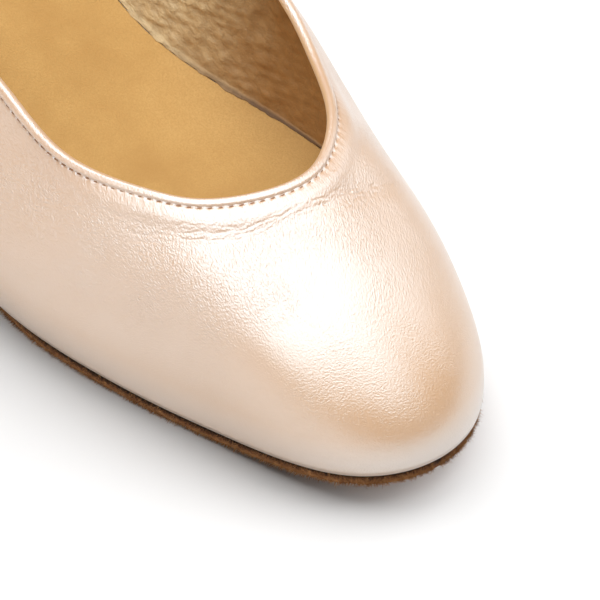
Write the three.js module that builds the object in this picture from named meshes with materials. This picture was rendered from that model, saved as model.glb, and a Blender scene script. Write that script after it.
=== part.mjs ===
// Right court dance shoe: closed round toe, bound topline, thin suede sole and flared heel.
// Millimetres, +Z up, toe towards +X, inner (big toe) side towards +Y.
// The shoe stands on the tread of the sole and on the heel's top piece, both at z = 0.
import * as THREE from "three";

// Driving dimensions. Lengths along the shoe are measured from the back of the seat.
const toeTip = 237; // feather line at the toe
const heelRise = 45.8; // seat above the tread, along the feather line
const toeSpring = 6.3; // feather line at the toe tip above the tread
const treadBack = 145.3; // flat tread of the sole, from behind the ball
const treadFront = 183; // to where the toe spring starts
const seatFrom = 20; // behind this the seat is straight
const seatSlope = 0.12; // fall of the seat towards the toe
const soleEdge = 3; // underside of the upper above the floor at the tread
const seam = 0.3; // gap between pieces that meet
const wall = 1.5; // upper leather with its lining
const lastingMargin = 8; // upper turned in under the insole
const lastingThickness = 1;
const insoleThickness = 1.2;
const insoleInset = 1.9; // insole edge inside the feather line
const treadInset = 0.3; // sole edge inside the feather line, at the tread
const toeInset = 0.8; // the same at the toe tip
const waistInset = 4; // the same at the waist
const waistFront = 160; // the sole narrows from here
const waistBack = 100; // to here
const bindingHeight = 2.4; // folded strip along the topline
const bindingThickness = 2.3;
const topPieceThickness = 5;
const breast = 52; // front of the heel
const midLength = 118.8; // middle of the finished shoe, from the back of the seat
const midWidth = -1.5; // middle of the finished shoe across its width

// Sections of the upper, in order from the toe tip along the outer side, round the heel and back.
// foot: point on the feather line, where the wall meets the sole.  top: point on the topline.
// lean, rise: how far the wall leans out at the foot, in degrees, and how far it keeps that lean.
// fall, reach: slope of the wall below the topline, in degrees, and how far it keeps that slope.
const sectionColumns = ["at", "footX", "footY", "topX", "topY", "topZ", "lean", "rise", "fall", "reach"];
const sections = [
  ["toe tip", toeTip, 1, 185, 1.5, 46, 12, 16, 22, 30],
  ["outer toe corner", 228, -17.5, 178.5, -13.5, 44.5, 10, 17, 23, 26],
  ["outer toe side", 200.5, -29, 167.5, -22.5, 44, 4, 18, 30, 20],
  ["outer ball front", 171.5, -38.5, 148, -29.5, 43, 7, 17, 50, 14],
  ["outer ball back", 131.5, -43, 125.5, -29.5, 46, 22, 15, 70, 12],
  ["outer waist", 95, -30.5, 94.5, -30, 51.5, 24, 16, 80, 12],
  ["outer seat front", 58, -27, 57, -30.5, 67, 14, 18, 84, 14],
  ["outer seat back", 20, -21.5, 18, -23.5, 91, 12, 20, 82, 16],
  ["heel back", 4, -1.5, 3, -1.5, 104, 14, 20, 80, 18],
  ["inner seat back", 20, 18.5, 18, 20.5, 91, 12, 20, 82, 16],
  ["inner seat front", 58, 23, 57, 29, 67, 14, 18, 84, 14],
  ["inner waist", 101, 24, 93.5, 35.5, 51, 22, 16, 77, 14],
  ["inner ball back", 136.5, 37.5, 128.5, 37, 44, 12, 14, 53, 17],
  ["inner ball front", 176, 38.5, 152.5, 31, 42, 2, 16, 49, 15],
  ["inner toe side", 205.5, 30.5, 169.5, 22.5, 44.5, 2, 18, 30, 21],
  ["inner toe corner", 227, 18.5, 180, 13.5, 45.5, 9, 16, 26, 28],
];

// Sections of the heel from the seat down to the top piece: share of the height, front, back and width there.
const heelSections = [
  { down: 0, front: breast, back: 4, width: 50 },
  { down: 0.12, front: 51, back: 5.2, width: 46 },
  { down: 0.35, front: 47.5, back: 9.5, width: 37.5 },
  { down: 0.65, front: 45, back: 12.8, width: 31.5 },
  { down: 0.85, front: 45, back: 12.6, width: 32 },
  { down: 1, front: 46, back: 11.2, width: 34.5 },
];

// Mesh density
const loopSteps = sections.length * 6;
const wallSteps = 10;
const soleRows = 36;
const soleColumns = 6;
const towardsFlat = 8; // how strongly the fall follows the foot line's own normal

const up = new THREE.Vector3(0, 0, 1);

// Closed cubic spline through one column of the section table, as a function of the row number.
function closedSpline(values) {
  const count = values.length;
  let weights = values.slice();
  for (let pass = 0; pass < 60; pass++) {
    const last = weights;
    weights = values.map((v, i) => (6 * v - last[(i + count - 1) % count] - last[(i + 1) % count]) / 4);
  }
  return (row) => {
    const turn = ((row % count) + count) % count;
    const i = Math.floor(turn);
    const f = turn - i;
    const g = 1 - f;
    const basis = [g ** 3, 3 * f ** 3 - 6 * f ** 2 + 4, 3 * g ** 3 - 6 * g ** 2 + 4, f ** 3];
    return basis.reduce((sum, b, k) => sum + (b * weights[(i + k - 1 + count) % count]) / 6, 0);
  };
}

const column = Object.fromEntries(
  sectionColumns.slice(1).map((name, i) => [name, closedSpline(sections.map((section) => section[i + 1]))]),
);

// Height of the feather line: toe spring, flat tread, waist rising to the seat.
function featherHeight(x) {
  const toe = Math.max(0, (x - treadFront) / (toeTip - treadFront));
  const climb = Math.max(0, (treadBack - x) / (treadBack - seatFrom));
  const along = Math.min(climb, 1);
  const seatRise = seatSlope * (treadBack - seatFrom);
  const waist = heelRise * (3 * along ** 2 - 2 * along ** 3) + seatRise * (along ** 3 - along ** 2);
  return soleEdge + toeSpring * toe ** 2 + waist + Math.max(0, climb - 1) * seatRise;
}

function featherPoint(row) {
  const x = column.footX(row);
  return new THREE.Vector3(x, column.footY(row), featherHeight(x));
}

// Outward normal of the feather line, seen from above.
function featherNormal(row) {
  const step = 0.01;
  const along = featherPoint(row + step).sub(featherPoint(row - step));
  return new THREE.Vector3(-along.y, along.x, 0).normalize();
}

// Point of the upper's outer face: row runs round the shoe, share runs from the foot (0) to the topline (1).
function upperPoint(row, share) {
  const radians = THREE.MathUtils.degToRad;
  const foot = featherPoint(row);
  const top = new THREE.Vector3(column.topX(row), column.topY(row), column.topZ(row));
  const out = featherNormal(row);
  const lean = radians(column.lean(row));
  const fall = radians(column.fall(row));
  const footHandle = foot
    .clone()
    .addScaledVector(out, column.rise(row) * Math.sin(lean))
    .addScaledVector(up, column.rise(row) * Math.cos(lean));
  const down = foot.clone().sub(top).setZ(0).addScaledVector(out, towardsFlat).normalize();
  const topHandle = top
    .clone()
    .addScaledVector(down, column.reach(row) * Math.cos(fall))
    .addScaledVector(up, -column.reach(row) * Math.sin(fall));
  return new THREE.CubicBezierCurve3(foot, footHandle, topHandle, top).getPoint(share);
}

// Unit vectors at a point of the upper: across (out of the leather) and rising (towards the topline).
function upperFrame(row, share) {
  const step = 0.002;
  const low = Math.max(0, share - step);
  const high = Math.min(1, share + step);
  const rising = upperPoint(row, high).sub(upperPoint(row, low)).normalize();
  const round = upperPoint(row + step, share).sub(upperPoint(row - step, share));
  const across = new THREE.Vector3().crossVectors(rising, round).normalize();
  return { across, rising };
}

function upperOffset(row, share, inwards) {
  return upperPoint(row, share).addScaledVector(upperFrame(row, share).across, -inwards);
}

// Share of the wall that lies a short way below the topline.
function shareBelow(row, distance) {
  return 1 - distance / (3 * column.reach(row));
}

const loopRows = Array.from({ length: loopSteps }, (_, i) => (i * sections.length) / loopSteps);

function geometryFrom(points, triangles) {
  const geometry = new THREE.BufferGeometry().setFromPoints(points);
  geometry.setIndex(triangles);
  geometry.computeVertexNormals();
  return geometry;
}

function signedVolume(points, triangles) {
  let volume = 0;
  for (let i = 0; i < triangles.length; i += 3) {
    const [a, b, c] = [0, 1, 2].map((k) => points[triangles[i + k]]);
    volume += a.dot(new THREE.Vector3().crossVectors(b, c)) / 6;
  }
  return volume;
}

// Skin over rings of equal length. closed joins the last ring to the first; otherwise both ends are capped
// by strips between the points that face each other across the ring.
function skin(rings, closed) {
  const size = rings[0].length;
  const points = rings.flat();
  const triangles = [];
  const quad = (a, b, c, d) => triangles.push(a, b, c, a, c, d);
  const spans = closed ? rings.length : rings.length - 1;
  for (let r = 0; r < spans; r++) {
    const next = (r + 1) % rings.length;
    for (let k = 0; k < size; k++) {
      const side = (k + 1) % size;
      quad(r * size + k, r * size + side, next * size + side, next * size + k);
    }
  }
  if (!closed) {
    const lastRing = (rings.length - 1) * size;
    for (let k = 0; k < size / 2 - 1; k++) {
      const facing = size - 1 - k;
      quad(k, facing, facing - 1, k + 1);
      quad(lastRing + k, lastRing + k + 1, lastRing + facing - 1, lastRing + facing);
    }
  }
  if (signedVolume(points, triangles) < 0) triangles.reverse();
  return geometryFrom(points, triangles);
}

// Upper: outer face up to the binding, then the inner face back down to the lasting margin turned in at the
// foot; one hollow wall, open at the collar and underneath.
function makeUpper() {
  const edge = bindingHeight + seam;
  const ring = (step, inwards) =>
    loopRows.map((row) => upperOffset(row, (shareBelow(row, edge) * step) / wallSteps, inwards));
  const steps = Array.from({ length: wallSteps + 1 }, (_, i) => i);
  const outside = steps.map((step) => ring(step, 0));
  const inside = steps.slice(1).reverse().map((step) => ring(step, wall));
  const onFoot = (point, above) => point.setZ(featherHeight(point.x) + above);
  const insideFoot = loopRows.map((row) => onFoot(upperOffset(row, 0, wall), lastingThickness));
  const turnedIn = (row) => featherPoint(row).addScaledVector(featherNormal(row), -lastingMargin);
  const marginEdge = (above) => loopRows.map((row) => onFoot(turnedIn(row), above));
  return skin([...outside, ...inside, insideFoot, marginEdge(lastingThickness), marginEdge(0)], true);
}

// Binding: round-topped strip on the wall's cut edge, all along the topline.
function makeBinding() {
  const half = bindingThickness / 2;
  const profile = [{ side: half, below: bindingHeight }];
  const archSteps = 4;
  for (let i = 0; i <= archSteps; i++) {
    const angle = (Math.PI * i) / archSteps;
    profile.push({ side: half * Math.cos(angle), below: half * (1 - Math.sin(angle)) });
  }
  profile.push({ side: -half, below: bindingHeight });
  const rings = profile.map(({ side, below }) =>
    loopRows.map((row) => upperOffset(row, shareBelow(row, below), wall / 2 - side)),
  );
  return skin(rings, true);
}

// Left and right edge of the feather line, moved out by margin(x), as functions of x; and its two ends.
function soleOutline(margin) {
  const edge = [];
  const fine = 1200;
  for (let i = 0; i < fine; i++) {
    const row = (i * sections.length) / fine;
    const foot = featherPoint(row);
    edge.push(foot.addScaledVector(featherNormal(row), margin(foot.x)));
  }
  const heelRow = Math.round(fine / 2);
  const tip = edge.reduce((best, p, i) => (p.x > edge[best].x ? i : best), 0);
  const fromTip = (i) => edge[(tip + i + fine) % fine];
  const backStep = edge.reduce((best, p, i) => (p.x < edge[best].x ? i : best), heelRow);
  const outerCount = (backStep - tip + fine) % fine;
  const outer = Array.from({ length: outerCount + 1 }, (_, i) => fromTip(i));
  const inner = Array.from({ length: fine - outerCount + 1 }, (_, i) => fromTip(-i));
  const yAt = (side) => (x) => {
    const i = Math.max(1, side.findIndex((p) => p.x <= x));
    const [a, b] = [side[i - 1], side[i]];
    return THREE.MathUtils.lerp(a.y, b.y, (a.x - x) / (a.x - b.x));
  };
  return { outer: yAt(outer), inner: yAt(inner), front: edge[tip].x, back: edge[backStep].x };
}

// Flat piece that follows the feather line: ring of top and underside points at each place x along the shoe.
function soleLayer(outline, places, topAbove, underAbove) {
  const rings = places.map((x) => {
    const across = Array.from({ length: soleColumns + 1 }, (_, i) =>
      THREE.MathUtils.lerp(outline.outer(x), outline.inner(x), i / soleColumns),
    );
    const top = across.map((y) => new THREE.Vector3(x, y, topAbove(x)));
    const under = across.reverse().map((y) => new THREE.Vector3(x, y, underAbove(x)));
    return [...top, ...under];
  });
  return skin(rings, false);
}

const tipTrim = 0.05; // the layer stops this far short of a pointed end
const featherSlope = (x) => featherHeight(x + 0.5) - featherHeight(x - 0.5);
const thicker = (x) => Math.hypot(1, featherSlope(x)); // upright thickness of a sloping layer

// Insole: fills the upper's foot from heel to toe and lies on the lasting margin.
function makeInsole() {
  const outline = soleOutline(() => -insoleInset);
  const middle = (outline.front + outline.back) / 2;
  const half = (outline.front - outline.back) / 2 - tipTrim;
  const share = (i) => Math.cos((Math.PI * i) / soleRows);
  const places = Array.from({ length: soleRows + 1 }, (_, i) => middle - half * share(i));
  const under = lastingThickness + seam;
  const top = under + insoleThickness;
  return soleLayer(
    outline,
    places,
    (x) => featherHeight(x) + top * thicker(x),
    (x) => featherHeight(x) + under * thicker(x),
  );
}

// Outsole: forepart and waist, from the heel's breast to the toe, narrower than the upper at the waist.
function makeOutsole() {
  const margin = (x) => {
    const atWaist = THREE.MathUtils.smoothstep(-x, -waistFront, -waistBack);
    const atToe = THREE.MathUtils.smoothstep(x, treadFront, toeTip);
    return -treadInset - atWaist * (waistInset - treadInset) - atToe * (toeInset - treadInset);
  };
  const outline = soleOutline(margin);
  const start = breast + seam;
  const length = outline.front - tipTrim - start;
  const share = (i) => Math.sin((Math.PI / 2) * (i / soleRows));
  const places = Array.from({ length: soleRows + 1 }, (_, i) => start + length * share(i));
  const withTread = [...places, treadBack, treadFront].sort((a, b) => a - b);
  const underside = (x) => (x >= treadBack && x <= treadFront ? 0 : featherHeight(x) - soleEdge * thicker(x));
  return soleLayer(outline, withTread, (x) => featherHeight(x) - seam, underside);
}

// Seat outline of the heel from one corner of the breast round the back to the other.
function seatRing() {
  const outline = soleOutline(() => 0);
  const sideSteps = 16;
  const depth = breast - outline.back - tipTrim;
  const share = (i) => Math.sin((Math.PI / 2) * (i / sideSteps));
  const places = Array.from({ length: sideSteps + 1 }, (_, i) => breast - depth * share(i));
  const outer = places.map((x) => new THREE.Vector3(x, outline.outer(x), 0));
  const inner = places.map((x) => new THREE.Vector3(x, outline.inner(x), 0));
  return [...outer, ...inner.reverse()];
}

// One level of the heel: the seat outline scaled to that level's front, back and width.
function heelRing(seat, level, height) {
  const top = heelSections[0];
  const middle = (seat[0].y + seat[seat.length - 1].y) / 2;
  const lengthScale = (level.front - level.back) / (top.front - top.back);
  return seat.map((p) => {
    const x = level.front + (p.x - top.front) * lengthScale;
    const y = middle + ((p.y - middle) * level.width) / top.width;
    return new THREE.Vector3(x, y, height(p));
  });
}

function makeHeel() {
  const seat = seatRing();
  const base = topPieceThickness + seam;
  const rings = heelSections.map((level) =>
    heelRing(seat, level, (p) => THREE.MathUtils.lerp(featherHeight(p.x) - seam, base, level.down)),
  );
  return skin(rings, false);
}

function makeTopPiece() {
  const seat = seatRing();
  const foot = heelSections[heelSections.length - 1];
  return skin([heelRing(seat, foot, () => topPieceThickness), heelRing(seat, foot, () => 0)], false);
}

const pearlLeather = new THREE.MeshStandardMaterial({ color: 0xe8cdb8, roughness: 0.38, metalness: 0.15 });
const bindingLeather = new THREE.MeshStandardMaterial({ color: 0xecd5c4, roughness: 0.35, metalness: 0.15 });
const insoleSuede = new THREE.MeshStandardMaterial({ color: 0xcf9f5c, roughness: 0.9, metalness: 0 });
const soleSuede = new THREE.MeshStandardMaterial({ color: 0x5a3a22, roughness: 0.95, metalness: 0 });
const topPieceRubber = new THREE.MeshStandardMaterial({ color: 0x3a2818, roughness: 0.8, metalness: 0 });

const pieces = [
  ["upper", makeUpper(), pearlLeather],
  ["topline_binding", makeBinding(), bindingLeather],
  ["insole", makeInsole(), insoleSuede],
  ["outsole", makeOutsole(), soleSuede],
  ["heel", makeHeel(), pearlLeather],
  ["heel_top_piece", makeTopPiece(), topPieceRubber],
];

const shoe = new THREE.Group();
shoe.name = "court_dance_shoe";
for (const [name, geometry, material] of pieces) {
  const mesh = new THREE.Mesh(geometry, material);
  mesh.name = name;
  shoe.add(mesh);
}
shoe.position.set(-midLength, -midWidth, 0);

const part = new THREE.Group();
part.add(shoe);
export default part;
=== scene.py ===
import bpy
import math
import numpy as np
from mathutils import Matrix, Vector


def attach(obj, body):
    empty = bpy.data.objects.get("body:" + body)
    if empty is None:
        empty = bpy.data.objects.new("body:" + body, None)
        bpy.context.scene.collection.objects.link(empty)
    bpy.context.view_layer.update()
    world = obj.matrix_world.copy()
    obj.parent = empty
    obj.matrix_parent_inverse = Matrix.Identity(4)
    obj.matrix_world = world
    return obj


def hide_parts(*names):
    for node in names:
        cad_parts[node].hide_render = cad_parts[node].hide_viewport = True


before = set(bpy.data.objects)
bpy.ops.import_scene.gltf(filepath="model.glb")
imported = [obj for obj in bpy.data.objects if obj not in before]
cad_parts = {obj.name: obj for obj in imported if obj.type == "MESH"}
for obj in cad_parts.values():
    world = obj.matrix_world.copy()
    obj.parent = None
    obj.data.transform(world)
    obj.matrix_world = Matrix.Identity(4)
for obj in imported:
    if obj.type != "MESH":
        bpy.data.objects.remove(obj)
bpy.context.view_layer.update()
print("frame loaded")

# The last: millimetres from the back of the seat, the same sizes as the solids
last = dict(toeTip=237.0, heelRise=45.8, toeSpring=6.3, treadBack=145.3, treadFront=183.0, seatFrom=20.0,
            seatSlope=0.12, soleEdge=3.0, wall=1.5, towardsFlat=8.0, breast=52.0,
            midLength=118.8, midWidth=-1.5)  # middle of the shoe, which is the origin

# Sections round the shoe: toe tip, outer side, heel, inner side
sectionNames = ("footX", "footY", "topX", "topY", "topZ", "lean", "rise", "fall", "reach")
sections = np.array([
    (last["toeTip"], 1, 185, 1.5, 46, 12, 16, 22, 30),  # toe tip
    (228, -17.5, 178.5, -13.5, 44.5, 10, 17, 23, 26),  # outer toe corner
    (200.5, -29, 167.5, -22.5, 44, 4, 18, 30, 20),
    (171.5, -38.5, 148, -29.5, 43, 7, 17, 50, 14),  # outer ball
    (131.5, -43, 125.5, -29.5, 46, 22, 15, 70, 12),
    (95, -30.5, 94.5, -30, 51.5, 24, 16, 80, 12),  # outer waist
    (58, -27, 57, -30.5, 67, 14, 18, 84, 14),
    (20, -21.5, 18, -23.5, 91, 12, 20, 82, 16),
    (4, -1.5, 3, -1.5, 104, 14, 20, 80, 18),  # heel back
    (20, 18.5, 18, 20.5, 91, 12, 20, 82, 16),
    (58, 23, 57, 29, 67, 14, 18, 84, 14),
    (101, 24, 93.5, 35.5, 51, 22, 16, 77, 14),  # inner waist
    (136.5, 37.5, 128.5, 37, 44, 12, 14, 53, 17),
    (176, 38.5, 152.5, 31, 42, 2, 16, 49, 15),  # inner ball
    (205.5, 30.5, 169.5, 22.5, 44.5, 2, 18, 30, 21),
    (227, 18.5, 180, 13.5, 45.5, 9, 16, 26, 28),  # inner toe corner
], float)
sectionCount = len(sections)
halfRound = sectionCount // 2  # rows from the toe tip to the heel back
upwards = np.array([0.0, 0.0, 1.0])


def closedWeights(values):
    weights = values.copy()
    for _ in range(60):
        weights = (6 * values - np.roll(weights, 1, 0) - np.roll(weights, -1, 0)) / 4
    return weights


sectionWeights = closedWeights(sections)


def sectionAt(rows):
    i = np.floor(rows).astype(int)
    f = rows - i
    g = 1 - f
    basis = (g**3, 3 * f**3 - 6 * f**2 + 4, 3 * g**3 - 6 * g**2 + 4, f**3)
    mix = sum(b[..., None] * sectionWeights[(i + k - 1) % sectionCount] for k, b in enumerate(basis)) / 6
    return {name: mix[..., n] for n, name in enumerate(sectionNames)}


def featherHeight(x):
    toe = np.maximum(0, (x - last["treadFront"]) / (last["toeTip"] - last["treadFront"]))
    reach = last["treadBack"] - last["seatFrom"]
    climb = np.maximum(0, (last["treadBack"] - x) / reach)
    a = np.minimum(climb, 1)
    seatRise = last["seatSlope"] * reach
    waist = last["heelRise"] * (3 * a**2 - 2 * a**3) + seatRise * (a**3 - a**2)
    return last["soleEdge"] + last["toeSpring"] * toe**2 + waist + np.maximum(0, climb - 1) * seatRise


def slopeStretch(x):
    return np.hypot(1, featherHeight(x + 0.5) - featherHeight(x - 0.5))


def footPoint(rows):
    s = sectionAt(rows)
    return np.stack([s["footX"], s["footY"], featherHeight(s["footX"])], -1)


def unit(v):
    return v / np.linalg.norm(v, axis=-1, keepdims=True)


def footNormal(rows):
    along = footPoint(rows + 0.01) - footPoint(rows - 0.01)
    return unit(np.stack([-along[..., 1], along[..., 0], 0 * along[..., 0]], -1))


def wallPoint(rows, shares):
    rows, shares = np.broadcast_arrays(rows, shares)
    s = sectionAt(rows)
    foot = footPoint(rows)
    top = np.stack([s["topX"], s["topY"], s["topZ"]], -1)
    out = footNormal(rows)
    lean, fall = np.radians(s["lean"])[..., None], np.radians(s["fall"])[..., None]
    rise, reach = s["rise"][..., None], s["reach"][..., None]
    footHandle = foot + out * rise * np.sin(lean) + upwards * rise * np.cos(lean)
    down = unit((foot - top) * (1, 1, 0) + out * last["towardsFlat"])
    topHandle = top + down * reach * np.cos(fall) - upwards * reach * np.sin(fall)
    t = shares[..., None]
    return (1 - t)**3 * foot + 3 * (1 - t)**2 * t * footHandle + 3 * (1 - t) * t**2 * topHandle + t**3 * top


def wallNormal(rows, shares):
    rows, shares = np.broadcast_arrays(rows, shares)
    rising = wallPoint(rows, np.minimum(shares + 0.002, 1)) - wallPoint(rows, np.maximum(shares - 0.002, 0))
    sideways = wallPoint(rows + 0.004, shares) - wallPoint(rows - 0.004, shares)
    return unit(np.cross(rising, sideways))


def wallGrid(rows, levels, topEdge):
    # share of each level, evenly along the leather from the foot (0) to topEdge below the topline (1)
    fine = np.linspace(0, 1, 161)
    dense = wallPoint(rows[None, :], fine[:, None])
    length = np.vstack([np.zeros(len(rows)), np.cumsum(np.linalg.norm(np.diff(dense, axis=0), axis=2), 0)])
    shares = np.empty((len(levels), len(rows)))
    for n in range(len(rows)):
        shares[:, n] = np.interp(levels * (length[-1, n] - topEdge), length[:, n], fine)
    below = length[-1] - levels[:, None] * (length[-1] - topEdge)
    return shares, below


# Distance along the topline from the middle of the throat, outer side positive
lineRows = np.linspace(-halfRound, halfRound, 3201)
linePoints = wallPoint(lineRows, np.ones_like(lineRows))
lineLength = np.concatenate([[0], np.cumsum(np.linalg.norm(np.diff(linePoints, axis=0), axis=1))])
lineAlong = lineLength - np.interp(0, lineRows, lineLength)
toplineLength = lineLength[-1]


def alongTopline(rows):
    return np.interp((rows + halfRound) % sectionCount - halfRound, lineRows, lineAlong)


def rowAtAlong(along):
    return np.interp(along, lineAlong, lineRows)


def shareBelow(rows, distance):
    return 1 - distance / (3 * sectionAt(rows)["reach"])


def smooth(low, high, v):
    t = np.clip((v - low) / (high - low), 0, 1)
    return t * t * (3 - 2 * t)


def ripple(points, size, seed):
    # soft bumps of about the given size, made of a few crossing waves
    rng = np.random.default_rng(seed)
    waves = 9
    total = np.zeros(points.shape[:-1])
    for _ in range(waves):
        way = unit(rng.normal(size=3)) * (2 * math.pi / (size * rng.uniform(0.7, 1.6)))
        total += np.sin(points @ way + rng.uniform(0, 6.28))
    return total / math.sqrt(waves)


def ripples(points, parts):
    # several together: share, size and seed of each
    return sum(share * ripple(points, size, seed) for share, size, seed in parts)


def toMetres(points):
    return (points - (last["midLength"], last["midWidth"], 0)) / 1000


# Meshes

def addMesh(name, points, faces, place=None):
    mesh = bpy.data.meshes.new(name)
    points = np.ascontiguousarray(points.reshape(-1, 3), np.float64)
    faces = np.ascontiguousarray(faces, np.int32)
    corners = faces.shape[1]
    volume = 0
    for pick in ([0, 1, 2], [0, 2, 3])[:corners - 2]:
        tri = points[faces[:, pick]]
        volume += np.einsum("ij,ij->i", tri[:, 0], np.cross(tri[:, 1], tri[:, 2])).sum()
    if volume < 0:  # faces look outwards
        faces = faces[:, ::-1].copy()
    mesh.vertices.add(len(points))
    mesh.vertices.foreach_set("co", toMetres(points).ravel())
    mesh.loops.add(faces.size)
    mesh.loops.foreach_set("vertex_index", faces.ravel())
    mesh.polygons.add(len(faces))
    mesh.polygons.foreach_set("loop_start", np.arange(0, faces.size, corners, dtype=np.int32))
    mesh.polygons.foreach_set("loop_total", np.full(len(faces), corners, np.int32))
    mesh.update(calc_edges=True)
    mesh.validate()
    mesh.polygons.foreach_set("use_smooth", np.ones(len(mesh.polygons), bool))
    if place is not None:
        layer = mesh.attributes.new("place", "FLOAT_VECTOR", "POINT")
        layer.data.foreach_set("vector", np.ascontiguousarray(place.reshape(-1, 3), np.float32).ravel())
    piece = bpy.data.objects.new(name, mesh)
    bpy.context.scene.collection.objects.link(piece)
    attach(piece, "root")
    return piece


def ringFaces(ringCount, size, closed):
    # quads between rings of equal length; closed joins the last ring to the first
    spans = ringCount if closed else ringCount - 1
    r, k = np.meshgrid(np.arange(spans), np.arange(size), indexing="ij")
    n, s = (r + 1) % ringCount, (k + 1) % size
    return np.stack([r * size + k, r * size + s, n * size + s, n * size + k], -1).reshape(-1, 4)


def capFaces(ringCount, size):
    # strips between the points that face each other across the first and the last ring
    k = np.arange(size // 2 - 1)
    f = size - 1 - k
    end = (ringCount - 1) * size
    return np.concatenate([np.stack([k, f, f - 1, k + 1], -1), end + np.stack([k, k + 1, f - 1, f], -1)])


def cappedFaces(ringCount, size):
    return np.concatenate([ringFaces(ringCount, size, False), capFaces(ringCount, size)])


def copiedFaces(faces, pointCount, copies):
    return (faces + pointCount * np.arange(copies)[:, None, None]).reshape(-1, faces.shape[1])


def roundRing(a, b, turn):
    return a[:, None] * np.cos(turn)[None, :, None] + b[:, None] * np.sin(turn)[None, :, None]


def sharpenEdges(piece, degrees):
    piece.data.set_sharp_from_angle(angle=math.radians(degrees))


# Materials

def newMaterial(name):
    mat = bpy.data.materials.new(name)
    mat.use_nodes = True
    mat.node_tree.nodes.clear()
    return mat


def feed(mat, socket, value):
    # another node's output, or a plain value
    if isinstance(value, bpy.types.NodeSocket):
        mat.node_tree.links.new(value, socket)
    else:
        socket.default_value = value


def addNode(mat, kind, **inputs):
    node = mat.node_tree.nodes.new("ShaderNode" + kind)
    for key, value in inputs.items():
        if hasattr(node, key) and key not in node.inputs:
            setattr(node, key, value)
        else:
            feed(mat, node.inputs[key], value)
    return node


def addMath(mat, operation, a, b):
    node = mat.node_tree.nodes.new("ShaderNodeMath")
    node.operation = operation
    feed(mat, node.inputs[0], a)
    feed(mat, node.inputs[1], b)
    return node.outputs[0]


def addRamp(mat, factor, stops):
    node = mat.node_tree.nodes.new("ShaderNodeValToRGB")
    mat.node_tree.links.new(factor, node.inputs[0])
    ramp = node.color_ramp
    while len(ramp.elements) < len(stops):
        ramp.elements.new(0.5)
    for element, (position, colour) in zip(ramp.elements, stops):
        element.position = position
        element.color = (*colour, 1) if isinstance(colour, tuple) else (colour, colour, colour, 1)
    return node.outputs[0]


def addBlend(mat, factor, a, b):
    node = mat.node_tree.nodes.new("ShaderNodeMix")
    node.data_type = "RGBA"
    for n, value in ((0, factor), (6, a), (7, b)):  # the colour sockets of a mix
        feed(mat, node.inputs[n], (*value, 1) if isinstance(value, tuple) else value)
    return node.outputs[2]


def inMillimetres(mat, stretch=(1, 1, 1), source=None):
    if source is None:
        source = addNode(mat, "TexCoord").outputs["Object"]
        stretch = tuple(1000 * s for s in stretch)
    node = addNode(mat, "Mapping", Vector=source)
    node.inputs["Scale"].default_value = stretch
    return node.outputs[0]


def placeVector(mat):
    # the measures that the piece carries at each point
    return addNode(mat, "Attribute", attribute_name="place").outputs["Vector"]


def placePart(mat, part):
    return addNode(mat, "SeparateXYZ", Vector=placeVector(mat)).outputs[part]


def finishMaterial(mat, **inputs):
    shader = addNode(mat, "BsdfPrincipled", **inputs)
    out = mat.node_tree.nodes.new("ShaderNodeOutputMaterial")
    mat.node_tree.links.new(shader.outputs[0], out.inputs[0])
    return mat


def linear(r, g, b):
    return tuple(((c / 255 + 0.055) / 1.055)**2.4 if c > 10 else c / 255 / 12.92 for c in (r, g, b))


pearl = dict(
    base=linear(235, 184, 136), pale=linear(237, 189, 145), deep=linear(231, 178, 128),
    toe=linear(236, 179, 119), feather=linear(238, 197, 160),  # over the toe, partly painted shade; along the feather edge, a painted reflection of the floor
    shine=(0.35, 0.75, 1.0, 1), roughness=0.42, ior=3.0,  # cool pearl over warm tan
    coat=1.0, coatIor=2.1, coatRoughness=0.36, sheen=0.2, sheenRoughness=0.35,
    grainLength=1.2, toeGrainLength=0.4, grainWidth=0.36, grainHeight=0.00028, smoothGrainHeight=0.00014,
    patchScale=0.06, toneScale=0.035, puckerScale=(2.3, 0.4, 0), puckerHeight=0.0002,
    flowTurn=(0, 0, -25), toeTurn=(0, 0, 53),  # which way the grain runs, above and over the toe
    wallReach=50.0, featherReach=20.0)  # millimetres that the zones below are shares of


def grainAlong(mat, turn, length, width, detail=1.0):
    # fine wrinkles, longer in the direction that is turned from the toe by these angles
    coords = addNode(mat, "Mapping", vector_type="TEXTURE", Vector=addNode(mat, "TexCoord").outputs["Object"])
    coords.inputs["Rotation"].default_value = [math.radians(t) for t in turn]
    coords.inputs["Scale"].default_value = (length / 1000, width / 1000, width / 1000)
    noise = addNode(mat, "TexNoise", Vector=coords.outputs[0], Scale=1.0, Detail=detail, Roughness=0.5,
                    Distortion=0.35)
    return noise.outputs["Fac"]


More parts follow.
